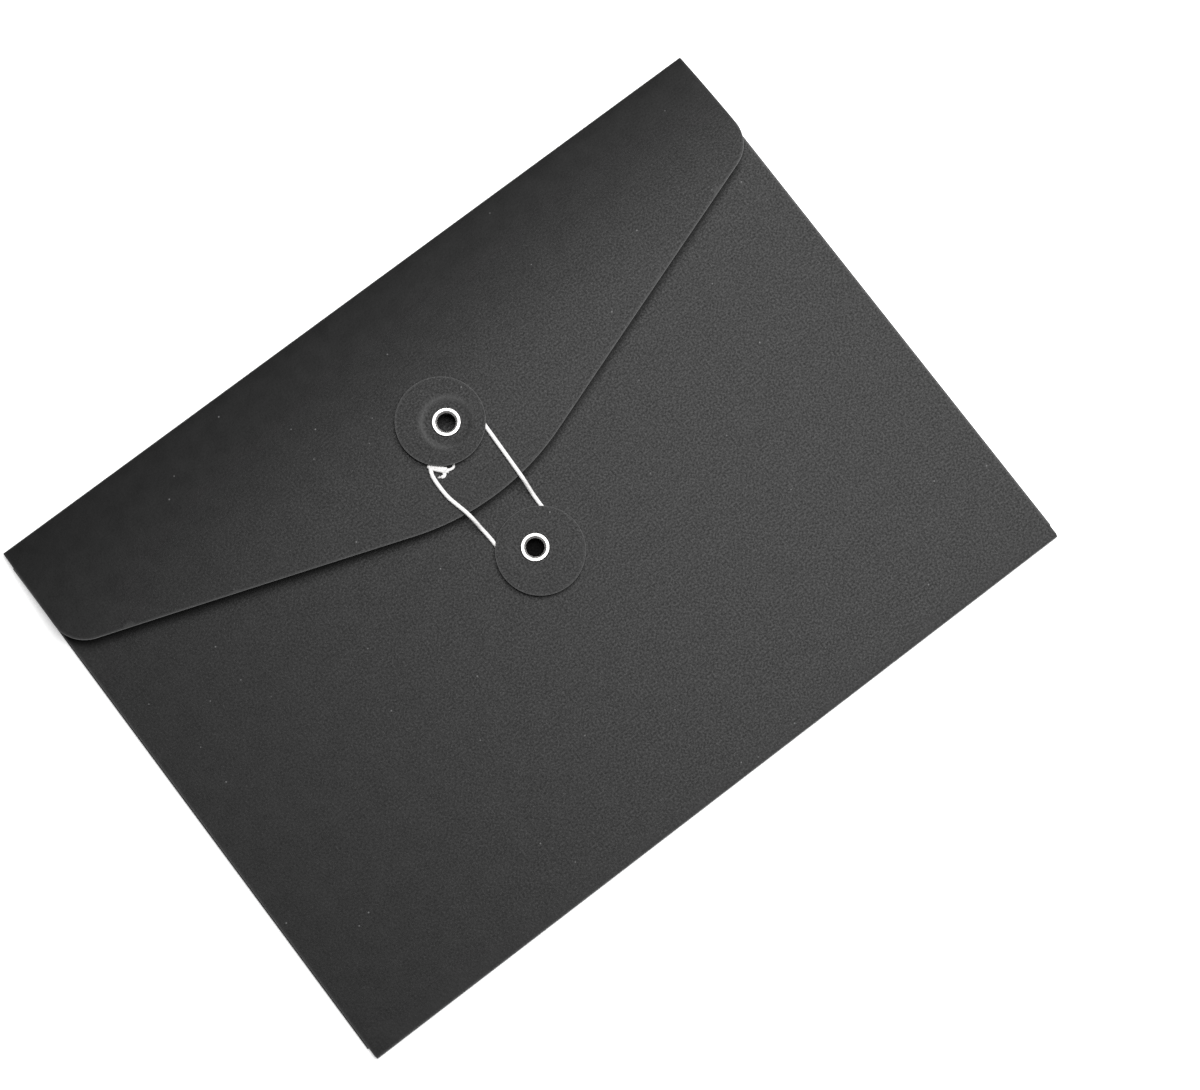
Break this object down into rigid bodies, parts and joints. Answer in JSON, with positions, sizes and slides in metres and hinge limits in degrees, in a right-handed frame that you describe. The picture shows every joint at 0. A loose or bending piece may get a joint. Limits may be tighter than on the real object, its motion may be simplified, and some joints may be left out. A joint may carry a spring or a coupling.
{
  "type": "document folder",
  "caption": "Flat black card document folder with a pointed closure flap, held shut by white string looped round riveted card buttons.",
  "frame": {"origin": "middle of the rear panel's underside, the face that the folder lies on", "axes": "+X along the flap's fold, +Y up the folder towards that fold, +Z out of the front panel"},
  "size_m": [0.33, 0.241, 0.0136],
  "materials": {
    "card": "matte, finely fibrous",
    "button_card": "matte, finely fibrous",
    "glue": "dried glue",
    "eyelet_metal": "bright, lightly rolled",
    "string": "twisted cotton"
  },
  "bodies": {
    "pocket": {"rear_panel": "card", "bottom_fold": "card", "front_panel": "card", "left_side_fold": "card", "right_side_fold": "card", "left_glue_tab": "card", "right_glue_tab": "card", "left_glue_strip": "glue", "right_glue_strip": "glue", "rear_fold": "card", "front_eyelet": "eyelet_metal"},
    "flap": {"closure_flap": "card", "flap_eyelet": "eyelet_metal", "tie_string": "string", "string_knot": "string"},
    "flap_disc": {"flap_button": "button_card", "flap_spacer": "button_card"},
    "front_disc": {"front_button": "button_card", "front_spacer": "button_card"}
  },
  "joints": [
    {"name": "flap_fold", "type": "hinge", "parent": "pocket", "child": "flap", "pos_m": [0, 0.1205, 0.0014], "axis": [-1, 0, 0], "range_deg": [0, 165], "deforming": ["tie_string"]},
    {"name": "flap_button_spin", "type": "hinge", "parent": "flap", "child": "flap_disc", "pos_m": [0.0015, 0.0566, 0.01019], "axis": [0, 0.0083, 1], "continuous": true},
    {"name": "front_button_spin", "type": "hinge", "parent": "pocket", "child": "front_disc", "pos_m": [0, -0.0018, 0.0022], "axis": [0, 0, 1], "continuous": true}
  ]
}
